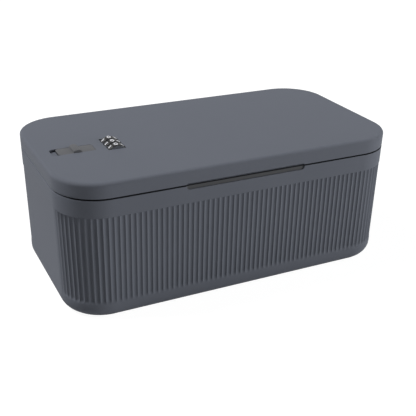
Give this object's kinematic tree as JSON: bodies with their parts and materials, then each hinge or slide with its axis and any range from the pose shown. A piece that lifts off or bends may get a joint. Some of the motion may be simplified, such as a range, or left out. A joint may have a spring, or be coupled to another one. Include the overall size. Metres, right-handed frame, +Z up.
{
  "type": "medication lock box",
  "caption": "Fluted plastic storage box with a lift-off lid that locks with a sliding bolt and number dials.",
  "frame": {"origin": "middle of the underside, on the surface that the box stands on", "axes": "+X along the box towards the lid's hooks, away from the lock; -Y towards the front; +Z up"},
  "size_m": [0.3, 0.164, 0.1224],
  "materials": {
    "shell": "fine-grained satin",
    "inner_plastic": "matte",
    "slider_plastic": "satin",
    "dial_plastic": "gloss",
    "sleeve_plastic": "matte",
    "steel": "plain"
  },
  "bodies": {
    "box": {"box_body": "shell", "strike_keeper": "inner_plastic", "hook_keeper": "shell", "keeper_screw_1": "steel", "keeper_screw_2": "steel", "keeper_screw_3": "steel", "keeper_screw_4": "steel"},
    "lid": {"lid_shell": "shell", "hook_bracket": "inner_plastic", "hook_screw_1": "steel", "hook_screw_2": "steel", "hook_screw_3": "steel", "lock_frame": "inner_plastic", "lock_cover": "inner_plastic", "lock_screw_1": "steel", "lock_screw_2": "steel", "lock_screw_3": "steel", "lock_screw_4": "steel", "dial_axle": "steel", "axle_clip_1": "steel", "axle_clip_2": "steel", "detent_spring": "steel"},
    "slider": {"slide_button": "slider_plastic", "latch_bolt": "steel", "locking_fork": "steel", "slide_screw_1": "steel", "slide_screw_2": "steel"},
    "dial_1": {"number_dial_1": "dial_plastic", "code_sleeve_1": "sleeve_plastic"},
    "dial_2": {"number_dial_2": "dial_plastic", "code_sleeve_2": "sleeve_plastic"},
    "dial_3": {"number_dial_3": "dial_plastic", "code_sleeve_3": "sleeve_plastic"},
    "code_lever": {"reset_lever": "sleeve_plastic"}
  },
  "joints": [
    {"name": "lid_tip", "type": "hinge", "parent": "box", "child": "lid", "pos_m": [0.14979, 0, 0.1063], "axis": [0, 1, 0], "range_deg": [0, 75]},
    {"name": "slider_travel", "type": "slide", "parent": "lid", "child": "slider", "axis": [-1, 0, 0], "range_m": [0, 0.005]},
    {"name": "dial_1_turn", "type": "hinge", "parent": "lid", "child": "dial_1", "pos_m": [-0.086, -0.01499, 0.1131], "axis": [0, 1, 0], "continuous": true},
    {"name": "dial_2_turn", "type": "hinge", "parent": "lid", "child": "dial_2", "pos_m": [-0.086, -0.0063, 0.1131], "axis": [0, 1, 0], "continuous": true},
    {"name": "dial_3_turn", "type": "hinge", "parent": "lid", "child": "dial_3", "pos_m": [-0.086, 0.00239, 0.1131], "axis": [0, 1, 0], "continuous": true},
    {"name": "code_lever_travel", "type": "slide", "parent": "lid", "child": "code_lever", "axis": [0, 1, 0], "range_m": [0, 0.003]}
  ]
}
